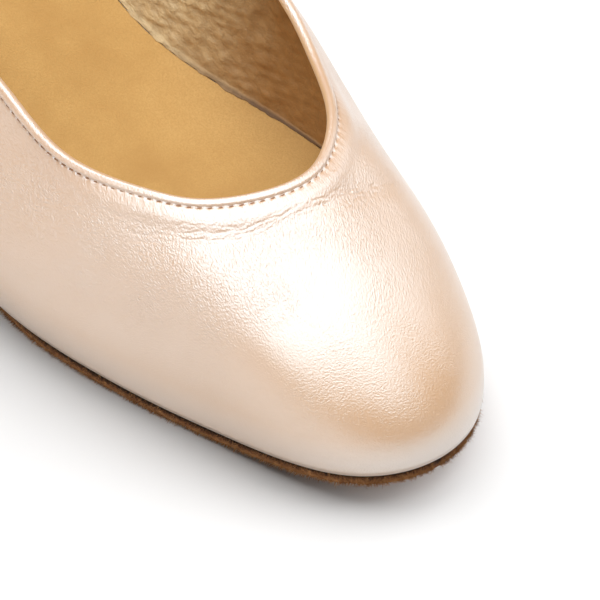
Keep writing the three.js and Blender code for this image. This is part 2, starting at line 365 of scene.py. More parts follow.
def pearlLeather(name, throat):
    mat = newMaterial(name)
    mm = inMillimetres(mat)
    grain = grainAlong(mat, pearl["flowTurn"], pearl["grainLength"], pearl["grainWidth"])
    patches = addNode(mat, "TexNoise", Vector=mm, Scale=pearl["patchScale"], Detail=2.0).outputs["Fac"]
    strength = addRamp(mat, patches, [(0.35, 0.45), (0.62, 1)])
    grainHeight = pearl["smoothGrainHeight"]
    if throat:
        grainHeight = pearl["grainHeight"]
        below = addMath(mat, "DIVIDE", placePart(mat, 1), pearl["wallReach"])
        lower = grainAlong(mat, pearl["toeTurn"], pearl["toeGrainLength"], pearl["grainWidth"])
        grain = addBlend(mat, addRamp(mat, below, [(0.6, 0), (0.9, 1)]), grain, lower)
        zone = addRamp(mat, below, [(0.06, 0.35), (0.22, 1), (0.7, 0.8), (1.0, 0.45)])
        strength = addMath(mat, "MULTIPLY", strength, zone)
    height = addMath(mat, "MULTIPLY", grain, strength)
    normal = addNode(mat, "Bump", Height=height, Strength=1.0, Distance=grainHeight).outputs[0]
    tone = addNode(mat, "TexNoise", Vector=mm, Scale=pearl["toneScale"], Detail=3.0).outputs["Fac"]
    colour = addRamp(mat, tone, [(0.3, pearl["deep"]), (0.5, pearl["base"]), (0.72, pearl["pale"])])
    if throat:  # fine puckers that run down from the stitched topline
        folds = inMillimetres(mat, pearl["puckerScale"], placeVector(mat))
        lines = addNode(mat, "TexNoise", Vector=folds, Scale=1.0, Detail=2.0, Roughness=0.5, Distortion=0.5)
        near = addRamp(mat, below, [(0.05, 0.6), (0.1, 1), (0.2, 0.3), (0.3, 0)])
        height = addMath(mat, "MULTIPLY", lines.outputs["Fac"], near)
        normal = addNode(mat, "Bump", Height=height, Strength=0.6, Distance=pearl["puckerHeight"],
                         Normal=normal).outputs[0]
        # warmer where the leather is drawn down over the toe, partly painted shade; paler along the feather
        # edge, a painted reflection of the floor
        colour = addBlend(mat, addRamp(mat, below, [(0.5, 0), (0.95, 1)]), colour, pearl["toe"])
        above = addMath(mat, "DIVIDE", placePart(mat, 2), pearl["featherReach"])
        colour = addBlend(mat, addRamp(mat, above, [(0.15, 1), (0.45, 0)]), colour, pearl["feather"])
    look = {"Base Color": colour, "Normal": normal, "Roughness": pearl["roughness"], "IOR": pearl["ior"],
            "Specular Tint": pearl["shine"], "Coat Weight": pearl["coat"], "Coat IOR": pearl["coatIor"],
            "Coat Roughness": pearl["coatRoughness"], "Coat Normal": normal,
            "Sheen Weight": pearl["sheen"], "Sheen Roughness": pearl["sheenRoughness"]}
    return finishMaterial(mat, **look)


# Upper: outer leather with the bend creases across the vamp
creaseLines = [  # plan points, from the outer side to the inner side
    dict(depth=0.085, width=0.23, points=[
        (166, -30), (174, -26.6), (181, -22), (186, -17.5), (188.7, -13.5), (190, -9.8),
        (191.2, -2.9), (191.6, 1), (192, 8.4), (191.3, 15.7), (190.3, 22.4), (189, 29)]),
    dict(depth=0.075, width=0.22, points=[
        (174.4, -26), (180, -21.6), (184.6, -16.6), (187, -13), (188.8, -9),
        (189.7, -5.6), (190.1, -0.5), (190.8, 4), (191, 11.6), (189.5, 18)]),
    dict(depth=0.055, width=0.24, points=[
        (168, -28), (173.5, -25.2), (178.3, -21.6), (183.6, -16.4), (186.2, -12.6), (188, -8)]),
    dict(depth=0.05, width=0.28, points=[(184, 17.5), (186, 19.5), (187.2, 23), (187.4, 27)]),
    dict(depth=0.05, width=0.28, points=[(181.5, 18.5), (183, 21), (184, 25), (184, 29)]),
    dict(depth=0.04, width=0.28, points=[(192.8, -8), (194, -2), (194.4, 5), (194, 11)]),
    dict(depth=0.045, width=0.3, points=[(150, -35), (158, -32), (164, -29.2), (170, -26)]),
]
creasing = dict(
    strands=((0, 1), (0.75, 0.55), (-0.9, 0.4), (1.8, 0.3)),  # shift sideways, share of the depth
    wander=0.26, wanderSize=5, tremble=0.12, trembleSize=1.8,  # how far each strand strays
    full=0.75, drop=0.15, patchy=0.45, patchSize=4.5, range=(0.1, 1.2),  # how strong it is along its way
    ridge=0.35, ridgeAt=2.1, ridgeWidth=1.1, linePoints=150, seed=50)
leather = dict(
    thickness=0.75, topEdge=1.5, waveHeight=0.09, waveSize=26,
    creasesFrom=140, creasesDown=36, creaseEnd=0.12,  # where creases lie, and the share of each that fades
    hollowDepth=0.34, hollowWidth=2.8,  # wide hollow along the first crease
    rollHeight=0.5, rollBelow=5.4, rollWidth=2.4, rollFrom=22, rollTo=60,  # soft roll round the throat
    channelDepth=0.28, channelWidth=0.32, channelRise=0.85, puckerLift=0.05, puckerBelow=3.4, puckerWidth=0.8,
    frontRows=(-3.4, 4.6, 470), backRows=(4.6, 12.6, 120), seamRows=(7.85, 8.15, 31),
    levels=((0, 0.6, 30), (0.6, 0.74, 17), (0.74, 0.95, 77), (0.95, 1, 15)), innerLevels=12, footFade=0.08,
    turnedEdge=((5, 0.75), (5, 0), (0.7, 0)))  # inset and height of the lasting margin
backSeam = dict(rowLength=48, ridge=0.16, ridgeAt=1.1, ridgeWidth=0.7, groove=0.3, grooveWidth=0.35)
stitch = dict(pitch=2.1, length=1.4, radius=0.2, below=2.45, slant=0.1, sunk=0.24, bow=0.18, rings=9, sides=8,
              lengths=(0.94, 1.06), endRadius=0.3,  # shares of the length and of the radius
              # the thread colour is a tan thread darkened partly as painted shade of the groove it lies in
              colour=linear(160, 118, 86), roughness=0.6, noiseSize=0.3, spread=0.12)
stitchCount = int(round(toplineLength / stitch["pitch"]))


def smoothLine(points, count):
    points = np.array(points, float)
    knots = np.concatenate([[0], np.cumsum(np.linalg.norm(np.diff(points, axis=0), axis=1))])
    at = np.linspace(0, knots[-1], count)
    line = np.stack([np.interp(at, knots, points[:, n]) for n in (0, 1)], -1)
    for _ in range(count // 12):  # round the corners
        line[1:-1] = (line[:-2] + 2 * line[1:-1] + line[2:]) / 4
    return line


def besideLine(plan, line):
    # signed distance from the line, and the share of its length at the nearest point
    best = np.full(len(plan), 1e9)
    nearest = np.zeros(len(plan), int)
    for n, p in enumerate(line):
        d = np.hypot(plan[:, 0] - p[0], plan[:, 1] - p[1])
        closer = d < best
        best[closer] = d[closer]
        nearest[closer] = n
    way = np.gradient(line, axis=0)[nearest]
    gap = plan - line[nearest]
    return best * np.sign(way[:, 0] * gap[:, 1] - way[:, 1] * gap[:, 0]), nearest / (len(line) - 1)


def hump(v, width):
    return np.exp(-(v / width)**2)


def foldShape(across, width):
    # a narrow valley with a low ridge either side
    ridge = hump(np.abs(across) - creasing["ridgeAt"] * width, creasing["ridgeWidth"] * width)
    return creasing["ridge"] * ridge - hump(across, width)


def creaseLift(points, along, below):
    spots = points.reshape(-1, 3)
    lift = np.zeros(len(spots))
    zone = np.flatnonzero((spots[:, 0] > leather["creasesFrom"]) & (below.ravel() < leather["creasesDown"]))
    near = spots[zone]
    for n, crease in enumerate(creaseLines):
        across, where = besideLine(near[:, :2], smoothLine(crease["points"], creasing["linePoints"]))
        ends = smooth(0, leather["creaseEnd"], where) * smooth(0, leather["creaseEnd"], 1 - where)
        if n == 0:
            lift[zone] -= leather["hollowDepth"] * ends * hump(across, leather["hollowWidth"])
        for strand, (shift, share) in enumerate(creasing["strands"]):
            seed = creasing["seed"] + 10 * n + 2 * strand
            wander = ripples(near, ((creasing["wander"], creasing["wanderSize"], seed),
                                    (creasing["tremble"], creasing["trembleSize"], seed + 1))) - shift
            patches = creasing["patchy"] * ripple(near, creasing["patchSize"], seed + 5)
            strength = np.clip(creasing["full"] - creasing["drop"] * strand + patches, *creasing["range"])
            fold = foldShape(across + wander, crease["width"])
            lift[zone] += crease["depth"] * share * ends * strength * fold
    lift = lift.reshape(below.shape)
    fade = 1 - smooth(leather["rollFrom"], leather["rollTo"], np.abs(along))
    return lift + leather["rollHeight"] * fade * hump(below - leather["rollBelow"], leather["rollWidth"])


def leatherLift(points, along, below):
    turns = stitchCount * (along - lineAlong[0]) / toplineLength
    beat = 0.5 + 0.5 * np.cos(2 * math.pi * turns)  # 1 between stitches
    channel = leather["channelDepth"] * (1 - leather["channelRise"] * beat**2)
    channel *= hump(below - stitch["below"], leather["channelWidth"])
    pucker = leather["puckerLift"] * (beat - 0.5)
    pucker *= hump(below - leather["puckerBelow"], leather["puckerWidth"])
    wave = leather["waveHeight"] * ripple(points, leather["waveSize"], 3)
    return creaseLift(points, along, below) - channel + pucker + wave


def makeUpper():
    front, back, atSeam = [np.linspace(*leather[name]) for name in ("frontRows", "backRows", "seamRows")]
    rows = np.sort(np.concatenate([front, back[1:-1], atSeam]))
    levels = np.concatenate([[0], *(np.linspace(*band)[1:] for band in leather["levels"])])
    shares, below = wallGrid(rows, levels, leather["topEdge"])
    grid = np.broadcast_to(rows, shares.shape)
    points, normal = wallPoint(grid, shares), wallNormal(grid, shares)
    along = np.broadcast_to(alongTopline(rows), shares.shape)
    fade = smooth(0, leather["footFade"], levels)[:, None]
    seamGap = np.abs(grid - halfRound) * backSeam["rowLength"]  # millimetres either side of the back seam
    ridge = backSeam["ridge"] * hump(seamGap - backSeam["ridgeAt"], backSeam["ridgeWidth"])
    seam = ridge - backSeam["groove"] * hump(seamGap, backSeam["grooveWidth"])
    outside = points + normal * ((leatherLift(points, along, below) + seam) * fade)[..., None]
    inner = np.linspace(len(levels) - 1, 0, leather["innerLevels"]).astype(int)
    inside = points[inner] - normal[inner] * leather["thickness"]
    foot, out = footPoint(rows), footNormal(rows)
    turned = np.stack([foot - out * inset + upwards * lift for inset, lift in leather["turnedEdge"]])
    rings = np.concatenate([outside, inside, turned])
    place = np.zeros_like(rings)
    place[:len(levels)] = np.stack([along, below, below[0] - below], -1)
    piece = addMesh("upperLeather", rings, ringFaces(len(rings), len(rows), True), place)
    piece.data.materials.append(pearlLeather("pearlLeatherUpper", True))
    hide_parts("upper")


makeUpper()
print("upper done")

# Binding and its stitches
binding = dict(thickness=2.3, columns=900, archSteps=12, waveHeight=0.03, waveSize=24, tucked=0.75,
               outerLeg=(2.1, 1.9, 1.5), innerLeg=(1.6, 2.2, 2.5))  # how far the folded edges reach down


def makeBinding():
    rows = np.linspace(-halfRound, halfRound, binding["columns"], endpoint=False)
    half = binding["thickness"] / 2
    tucked = binding["tucked"] * half
    angles = np.linspace(0, math.pi, binding["archSteps"] + 1)[1:-1]
    side = np.concatenate([[tucked, half, half], half * np.cos(angles), [-half, -half, -tucked]])
    below = np.concatenate([binding["outerLeg"], half * (1 - np.sin(angles)), binding["innerLeg"]])
    rings = []
    for s, b in zip(side, below):
        share = shareBelow(rows, b)
        rings.append(wallPoint(rows, share) + wallNormal(rows, share) * (s - last["wall"] / 2))
    rings = np.stack(rings)
    wave = binding["waveHeight"] * ripple(rings, binding["waveSize"], 11)
    rings += wave[..., None] * wallNormal(rows, np.ones_like(rows))
    piece = addMesh("toplineBinding", rings, ringFaces(len(rings), len(rows), True))
    piece.data.materials.append(pearlLeather("pearlLeatherBinding", False))
    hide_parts("topline_binding")


def threadMaterial():
    mat = newMaterial("stitchThread")
    noise = addNode(mat, "TexNoise", Vector=inMillimetres(mat), Scale=1 / stitch["noiseSize"], Detail=4.0)
    dark = tuple(c * (1 - stitch["spread"]) for c in stitch["colour"])
    light = tuple(min(1, c * (1 + stitch["spread"])) for c in stitch["colour"])
    colour = addRamp(mat, noise.outputs["Fac"], [(0.3, dark), (0.7, light)])
    normal = addNode(mat, "Bump", Height=noise.outputs["Fac"], Strength=0.4, Distance=0.0001).outputs[0]
    return finishMaterial(mat, **{"Base Color": colour, "Normal": normal, "Roughness": stitch["roughness"]})


def makeStitches():
    centres = lineAlong[0] + (np.arange(stitchCount) + 0.5) * toplineLength / stitchCount
    rng = np.random.default_rng(21)
    ringCount, sides = stitch["rings"], stitch["sides"]
    turn = np.linspace(0, 2 * math.pi, sides, endpoint=False)
    arch = np.sin(np.linspace(0, math.pi, ringCount))
    sink = stitch["bow"] * np.sqrt(arch) - stitch["sunk"] - stitch["bow"]
    threads = []
    for centre in centres:
        at = centre + np.linspace(-0.5, 0.5, ringCount) * stitch["length"] * rng.uniform(*stitch["lengths"])
        rows = rowAtAlong(np.clip(at, lineAlong[0], lineAlong[-1]))
        shares = shareBelow(rows, stitch["below"])
        normal = wallNormal(rows, shares)
        spine = wallPoint(rows, shares) + normal * sink[:, None]
        across = unit(np.cross(normal, np.gradient(spine, axis=0)))
        spine = spine + across * (np.linspace(-1, 1, ringCount) * stitch["slant"])[:, None]
        radius = stitch["radius"] * np.clip(stitch["endRadius"] + arch, 0, 1)
        threads.append(spine[:, None] + roundRing(across, normal, turn) * radius[:, None, None])
    faces = copiedFaces(cappedFaces(ringCount, sides), ringCount * sides, stitchCount)
    piece = addMesh("toplineStitches", np.stack(threads), faces)
    piece.data.materials.append(threadMaterial())


makeBinding()
makeStitches()
print("binding and stitches done")

# Lining, with a loose lower edge that laps onto the insole
lining = dict(
    columns=620, levels=70, lowest=0.06, topEdge=1.4, outerGap=0.9, innerGap=1.5,
    folds=((0.7, 5.5, 31), (0.5, 2.6, 32)), foldHeight=0.33, deepest=-0.6,  # share, size and seed
    foldsUp=(-2, 2), foldsDown=(2.5, 9), calm=0.6, calmFrom=(120, 150),  # flatter at its edges and in the toe
    lapFolds=((1, 6, 33), (0.6, 2.5, 34)), lapRange=(-0.9, 1.6), lapCalmFrom=(115, 150),
    lap=0.3, lapWave=0.3, lapFrom=1.6, lapStart=((1.55, 0.5), (1.6, 0.25)),  # inset and height
    lapRings=((0.6, 0.22), (1.0, 0.18), (1.0, 0.06), (0.6, 0.05)),  # share of the waved edge, and height
    beige=linear(210, 181, 134), shadedBrown=linear(162, 118, 67),
    shade=linear(132, 95, 55), edge=linear(70, 46, 24),  # painted shade in the folds, and a painted shadow line where it meets the insole
    shadedBrownShift=20.0, shadedBrownReach=50.0, shadedBrownWander=16.0,  # beige at the heel, darkening towards the toe as painted shade deep under the vamp
    foldTurn=(0, 30, 0), foldLength=2.8, foldWidth=1.5, cells=(0.4, 0.5, 0.5), netShare=0.8, creviceShadeReach=3.0,
    toneScale=0.12, poreScale=2.2, wrinkleBump=0.0008, poreBump=0.0002, roughness=0.62)
insole = dict(margin=1.0, seam=0.3, thickness=1.2, inset=1.75, dish=0.5, dishWidth=30, waveHeight=0.12,
              waveSize=30, rings=200, columns=44)
insoleSuede = dict(dark=linear(186, 142, 82), mid=linear(203, 160, 97), light=linear(213, 171, 108),
                   patch=38, nap=0.45, gaps=0.5, sheen=0.15)


def insoleTop(x):
    return featherHeight(x) + (insole["margin"] + insole["seam"] + insole["thickness"]) * slopeStretch(x)


def liningMaterial():
    mat = newMaterial("liningLeather")
    mm = inMillimetres(mat)
    tone = addNode(mat, "TexNoise", Vector=mm, Scale=lining["toneScale"], Detail=4.0).outputs["Fac"]
    wander = addMath(mat, "MULTIPLY", tone, lining["shadedBrownWander"])
    forward = addMath(mat, "ADD", addNode(mat, "SeparateXYZ", Vector=mm).outputs[0], wander)
    forward = addMath(mat, "DIVIDE", addMath(mat, "ADD", forward, lining["shadedBrownShift"]), lining["shadedBrownReach"])
    # painted shade: the lining darkens towards the toe, where it lies deep under the vamp
    front = addRamp(mat, forward, [(0.3, 0), (0.8, 1)])
    colour = addBlend(mat, front, lining["beige"], lining["shadedBrown"])
    cells = inMillimetres(mat, lining["cells"])
    net = addNode(mat, "TexVoronoi", feature="SMOOTH_F1", Scale=1.0, Vector=cells).outputs["Distance"]
    folds = grainAlong(mat, lining["foldTurn"], lining["foldLength"], lining["foldWidth"], 3.0)
    relief = addMath(mat, "SUBTRACT", folds, addMath(mat, "MULTIPLY", net, lining["netShare"]))
    relief = addMath(mat, "MULTIPLY", relief, addRamp(mat, front, [(0.0, 1), (1.0, 0.35)]))
    pores = addNode(mat, "TexNoise", Vector=mm, Scale=lining["poreScale"], Detail=2.0).outputs["Fac"]
    # painted shade in the folds
    colour = addBlend(mat, addRamp(mat, folds, [(0.4, 0.3), (0.6, 0)]), colour, lining["shade"])
    low = addMath(mat, "DIVIDE", addMath(mat, "ADD", placePart(mat, 1), 1.0), lining["creviceShadeReach"])
    liningCreviceShade = addMath(mat, "MULTIPLY", front, addRamp(mat, low, [(0.0, 0.7), (0.36, 0)]))
    colour = addBlend(mat, liningCreviceShade, colour, lining["edge"])  # painted shadow line where it meets the insole
    first = addNode(mat, "Bump", Height=relief, Strength=0.9, Distance=lining["wrinkleBump"]).outputs[0]
    second = addNode(mat, "Bump", Height=pores, Strength=0.5, Distance=lining["poreBump"], Normal=first)
    look = {"Base Color": colour, "Normal": second.outputs[0], "Roughness": lining["roughness"]}
    return finishMaterial(mat, **look)


def makeLining():
    rows = np.linspace(-halfRound, halfRound, lining["columns"], endpoint=False)
    levels = np.linspace(lining["lowest"], 1, lining["levels"])
    shares, below = wallGrid(rows, levels, lining["topEdge"])
    grid = np.broadcast_to(rows, shares.shape)
    points, normal = wallPoint(grid, shares), wallNormal(grid, shares)
    above = below[0] - below
    folds = ripples(points, lining["folds"])
    folds *= smooth(*lining["foldsUp"], above) * smooth(*lining["foldsDown"], below)
    folds *= 1 - lining["calm"] * smooth(*lining["calmFrom"], points[..., 0])
    outside = points - normal * lining["outerGap"]
    depth = lining["innerGap"] + lining["foldHeight"] * np.maximum(folds, lining["deepest"])
    inside = points - normal * depth[..., None]
    foot, out = footPoint(rows), footNormal(rows)
    wave = lining["lap"] + lining["lapWave"] * np.clip(ripples(foot, lining["lapFolds"]), *lining["lapRange"])
    wave *= 1 - lining["calm"] * smooth(*lining["lapCalmFrom"], foot[:, 0])
    reaches = [(np.full_like(wave, inset), lift) for inset, lift in lining["lapStart"]]
    reaches += [(lining["lapFrom"] + wave * share, lift) for share, lift in lining["lapRings"]]
    lap = []
    for reach, lift in reaches:
        spot = foot - out * reach[:, None]
        spot[:, 2] = insoleTop(spot[:, 0]) + lift
        lap.append(spot)
    rings = np.concatenate([outside, inside[::-1], np.stack(lap)])
    place = np.zeros_like(rings)
    place[..., 1] = np.concatenate([above, above[::-1], np.full((len(lap), len(rows)), -1)])
    piece = addMesh("lining", rings, ringFaces(len(rings), len(rows), True), place)
    piece.data.materials.append(liningMaterial())


makeLining()
print("lining done")

# Insole, outsole and heel follow the feather line
tipGap = 0.03  # the first and last rings stay just inside the tips
suedeLook = dict(roughness=0.95, gloss=0.15, sheenRoughness=0.5, napStrength=0.6, napHeight=0.0003)


def footEdges(margin):
    count = 4000
    rows = np.linspace(0, sectionCount, count, endpoint=False)
    foot = footPoint(rows)
    edge = foot + footNormal(rows) * margin(foot[:, 0])[:, None]
    tip, back = np.argmax(edge[:, 0]), np.argmin(edge[:, 0])
    edge = np.roll(edge, -tip, 0)
    steps = (back - tip) % count
    outer, inner = edge[:steps + 1][::-1], np.concatenate([edge[steps:], edge[:1]])
    return outer, inner


def edgeAt(edges, x):
    return [np.interp(x, side[:, 0], side[:, 1]) for side in edges]


def suedeMaterial(name, suede):
    mat = newMaterial(name)
    mm = inMillimetres(mat)
    dark, light = suede["dark"], suede["light"]
    cloud = addNode(mat, "TexNoise", Vector=mm, Scale=1 / suede["patch"], Detail=5.0, Roughness=0.6)
    nap = addNode(mat, "TexNoise", Vector=mm, Scale=1 / suede["nap"], Detail=4.0, Roughness=0.7)
    hairs = nap.outputs["Fac"]
    colour = addRamp(mat, cloud.outputs["Fac"], [(0.3, dark), (0.5, suede["mid"]), (0.7, light)])
    colour = addBlend(mat, addRamp(mat, hairs, [(0.38, suede["gaps"]), (0.62, 0)]), colour, dark)
    if "soleCreviceShade" in suede:  # painted shade, near black, where it tucks under the upper; paler along its lower edge
        ragged = addMath(mat, "MULTIPLY", addMath(mat, "SUBTRACT", hairs, 0.5), 0.5)
        depth = addMath(mat, "ADD", placePart(mat, 1), ragged)
        colour = addBlend(mat, addRamp(mat, depth, [(0.6, 0), (0.95, 0.7)]), colour, light)
        soleCreviceShade = addRamp(mat, depth, [(0.2, 1), (0.38, 0.65), (0.6, 0)])
        colour = addBlend(mat, soleCreviceShade, colour, suede["soleCreviceShade"])
    bump = addNode(mat, "Bump", Height=hairs, Strength=suedeLook["napStrength"],
                   Distance=suedeLook["napHeight"])
    look = {"Base Color": colour, "Normal": bump.outputs[0], "Roughness": suedeLook["roughness"],
            "Specular IOR Level": suedeLook["gloss"], "Sheen Weight": suede["sheen"],
            "Sheen Roughness": suedeLook["sheenRoughness"]}
    return finishMaterial(mat, **look)


def makeInsole():
    edges = footEdges(lambda x: np.full_like(x, -insole["inset"]))
    low, high = edges[0][0, 0] + tipGap, edges[0][-1, 0] - tipGap
    places = (low + high) / 2 - (high - low) / 2 * np.cos(np.linspace(0, math.pi, insole["rings"]))
    outer, inner = edgeAt(edges, places)
    across = np.linspace(0, 1, insole["columns"] + 1)
    y = outer[:, None] + (inner - outer)[:, None] * across
    x = np.broadcast_to(places[:, None], y.shape)
    crown = (1 - (2 * across - 1)**2)[None, :] * np.minimum(1, (inner - outer)[:, None] / insole["dishWidth"])
    wave = insole["waveHeight"] * ripple(np.stack([x, y, 0 * x], -1), insole["waveSize"], 5)
    top = insoleTop(x) - insole["dish"] * crown + wave * crown
    under = featherHeight(x) + (insole["margin"] + insole["seam"]) * slopeStretch(x)
    rings = np.concatenate([np.stack([x, y, top], -1), np.stack([x, y, under], -1)[:, ::-1]], 1)
    piece = addMesh("insoleSock", rings, cappedFaces(len(rings), rings.shape[1]))
    sharpenEdges(piece, 50)
    piece.data.materials.append(suedeMaterial("insoleSuede", insoleSuede))
    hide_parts("insole")


makeInsole()
print("insole done")

sole = dict(
    treadInset=0.3, toeInset=0.8, waistInset=4.0, waistFront=160.0, waistBack=100.0, seam=0.3,
    rings=420, columns=20, columnEdge=0.03, edgeLevels=9, taperWidth=8, rough=0.12, roughSize=0.9,
    tuck=0.75, tuckDepth=0.38, tuckCurve=1.5,  # drawn in under the upper
    footTuck=0.12, footDepth=0.2,  # and a little at the ground
    underTone=0.62)  # the underside takes the tone of the edge at this depth
soleSuede = dict(dark=linear(84, 50, 27), mid=linear(156, 102, 61), light=linear(204, 147, 94),
                 soleCreviceShade=linear(26, 15, 9), patch=1.6, nap=0.35, gaps=0.9, sheen=0.04)
fibre = dict(count=12000, length=(0.4, 1.0), extra=0.4, extraShare=0.06, thick=(0.035, 0.065), rooted=0.2,
             outwards=(0.5, 1.0), scatter=0.45, droop=0.25, bend=0.22, lowest=0.05,
             depthCurve=(2.6, 0.9), deepest=0.97, middle=0.55, turn=np.array([0, 2.094, 4.189]))
fibreSuede = dict(dark=linear(122, 80, 46), mid=linear(176, 124, 76), light=linear(210, 162, 108),
                  patch=1.5, nap=0.4, gaps=0.5, sheen=0.05)


def soleMargin(x):
    atWaist = smooth(-sole["waistFront"], -sole["waistBack"], -x)
    atToe = smooth(last["treadFront"], last["toeTip"], x)
    return -sole["treadInset"] - atWaist * (sole["waistInset"] - sole["treadInset"]) \
        - atToe * (sole["toeInset"] - sole["treadInset"])


def soleUnder(x):
    flat = (x >= last["treadBack"]) & (x <= last["treadFront"])
    return np.where(flat, 0, featherHeight(x) - last["soleEdge"] * slopeStretch(x))


def makeOutsole():
    edges = footEdges(soleMargin)
    start, end = last["breast"] + sole["seam"], edges[0][-1, 0] - tipGap
    places = start + (end - start) * np.sin(np.linspace(0, math.pi / 2, sole["rings"]))

    def ring(y, z):
        return np.stack([np.broadcast_to(places[:, None], y.shape), y, z], -1)

    outer, inner = [side[:, None] for side in edgeAt(edges, places)]
    top, under = featherHeight(places)[:, None] - sole["seam"], soleUnder(places)[:, None]
    across = np.linspace(sole["columnEdge"], 1 - sole["columnEdge"], sole["columns"])
    depth = np.linspace(0, 1, sole["edgeLevels"])
    width = inner - outer
    taper = np.minimum(1, width / sole["taperWidth"])
    tuck = sole["tuck"] * np.maximum(0, 1 - depth / sole["tuckDepth"])**sole["tuckCurve"]
    tuck = tuck + sole["footTuck"] * np.maximum(0, depth - (1 - sole["footDepth"])) / sole["footDepth"]
    tuck = tuck * taper
    edgeSpots = ring(outer + 0 * depth, last["soleEdge"] * depth + 0 * width)
    rough = ripple(edgeSpots, sole["roughSize"], 41) * sole["rough"] * taper
    height = top + (under - top) * depth
    topSide = ring(outer + width * across, top + 0 * across)
    innerSide = ring(inner - tuck + rough, height)
    underSide = ring(inner - width * across, under + 0 * across)
    outerSide = ring(outer + tuck[:, ::-1] - rough[:, ::-1], height[:, ::-1])
    shift = sole["edgeLevels"] // 2  # start each ring half way down the outer edge, so that caps face across
    rings = np.roll(np.concatenate([topSide, innerSide, underSide, outerSide], 1), shift, 1)
    down = np.concatenate([0 * across, depth, sole["underTone"] + 0 * across, depth[::-1]])
    place = np.zeros_like(rings)
    place[..., 1] = np.roll(down, shift)
    piece = addMesh("outsoleSuede", rings, cappedFaces(len(rings), rings.shape[1]), place)
    sharpenEdges(piece, 60)
    piece.data.materials.append(suedeMaterial("soleSuede", soleSuede))
    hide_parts("outsole")
    makeFibres(edges, start, end)


def makeFibres(edges, start, end):
    rng = np.random.default_rng(17)
    count = fibre["count"]
    x = start + (end - start) * np.sin(rng.uniform(0, 1, count) * math.pi / 2)
    sideInner = rng.random(count) < 0.5
    outer, inner = edgeAt(edges, x)
    y = np.where(sideInner, inner, outer)
    step = 0.05
    outerNext, innerNext = edgeAt(edges, np.maximum(x - step, start))
    slope = np.where(sideInner, inner - innerNext, outer - outerNext) / step
    out = unit(np.stack([-slope * np.where(sideInner, 1, -1), np.where(sideInner, 1.0, -1.0), 0 * x], -1))
    depth = np.minimum(rng.beta(*fibre["depthCurve"], count), fibre["deepest"])  # most near the ground
    top, under = featherHeight(x) - sole["seam"], soleUnder(x)
    root = np.stack([x, y, top + (under - top) * depth], -1) - out * fibre["rooted"]
    way = out * rng.uniform(*fibre["outwards"], count)[:, None]
    way = unit(way + rng.normal(0, fibre["scatter"], (count, 3)) - upwards * fibre["droop"])
    length = rng.uniform(*fibre["length"], count)
    length = (length + fibre["extra"] * (rng.random(count) < fibre["extraShare"]))[:, None]
    tip = root + way * length + rng.normal(0, fibre["bend"], (count, 3)) * length
    middle = root + way * length * fibre["middle"]
    for spot in (middle, tip):  # none reaches below the floor
        spot[:, 2] = np.maximum(spot[:, 2], fibre["lowest"])
    a = unit(np.cross(way, upwards + 0.01))  # no fibre points exactly that way
    ring = roundRing(a, np.cross(way, a), fibre["turn"])
    ring = ring * rng.uniform(*fibre["thick"], count)[:, None, None]
    spine = ((root, 1), (middle, 0.8), (tip, 0.3))  # thinner towards the tip
    points = np.stack([spot[:, None] + ring * share for spot, share in spine], 1)
    quads = ringFaces(3, 3, False)
    tris = np.concatenate([quads[:, [0, 1, 2]], quads[:, [0, 2, 3]], [[2, 1, 0], [6, 7, 8]]])
    piece = addMesh("soleFibres", points, copiedFaces(tris, 9, count))
    piece.data.materials.append(suedeMaterial("soleFibre", fibreSuede))


makeOutsole()
print("outsole done")

# Heel: covered, D-shaped, from the seat to the top piece
heelSections = np.array([  # share of the height, front, back, width
    (0, 52, 4, 50), (0.12, 51, 5.2, 46), (0.35, 47.5, 9.5, 37.5),
    (0.65, 45, 12.8, 31.5), (0.85, 45, 12.6, 32), (1, 46, 11.2, 34.5)])
heel = dict(levels=48, topPiece=5.0, seam=0.3, sidePoints=60, frontPoints=16,  # rings: height and inset
            topPieceRings=((5, 0.25), (4.75, 0), (2.5, 0.03), (0.4, 0.05), (0.1, 0.2), (0, 0.45)))
topPieceRubber = dict(dark=linear(44, 30, 20), mid=linear(62, 44, 30), light=linear(78, 58, 42),
                      patch=3.0, nap=0.5, gaps=0.5, sheen=0.05)


def seatOutline():
    edges = footEdges(np.zeros_like)
    low = edges[0][0, 0] + tipGap
    places = last["breast"] - (last["breast"] - low) * np.sin(np.linspace(0, math.pi / 2, heel["sidePoints"]))
    outer, inner = edgeAt(edges, places)
    across = np.linspace(0, 1, heel["frontPoints"] * 2 + 2)[1:-1]
    front = inner[0] + (outer[0] - inner[0]) * across
    half = heel["frontPoints"]
    x = np.concatenate([np.full(half, places[0]), places, places[::-1], np.full(half, places[0])])
    y = np.concatenate([front[half:], outer, inner[::-1], front[:half]])
    ring = np.stack([x, y], -1)
    for _ in range(5):  # ease the breast corners
        ring = (np.roll(ring, 1, 0) + 2 * ring + np.roll(ring, -1, 0)) / 4
    return ring


def heelRing(seat, front, back, width):
    top = heelSections[0]
    middle = (seat[:, 1].max() + seat[:, 1].min()) / 2
    x = front + (seat[:, 0] - top[1]) * (front - back) / (top[1] - top[2])
    return np.stack([x, middle + (seat[:, 1] - middle) * width / top[3]], -1)


def easedColumn(at, column):
    knots, values = heelSections[:, 0], heelSections[:, column]
    slopes = np.gradient(values, knots)
    i = np.clip(np.searchsorted(knots, at, side="right") - 1, 0, len(knots) - 2)
    h = knots[i + 1] - knots[i]
    t = (at - knots[i]) / h
    return ((2 * t**3 - 3 * t**2 + 1) * values[i] + (t**3 - 2 * t**2 + t) * h * slopes[i]
            + (-2 * t**3 + 3 * t**2) * values[i + 1] + (t**3 - t**2) * h * slopes[i + 1])


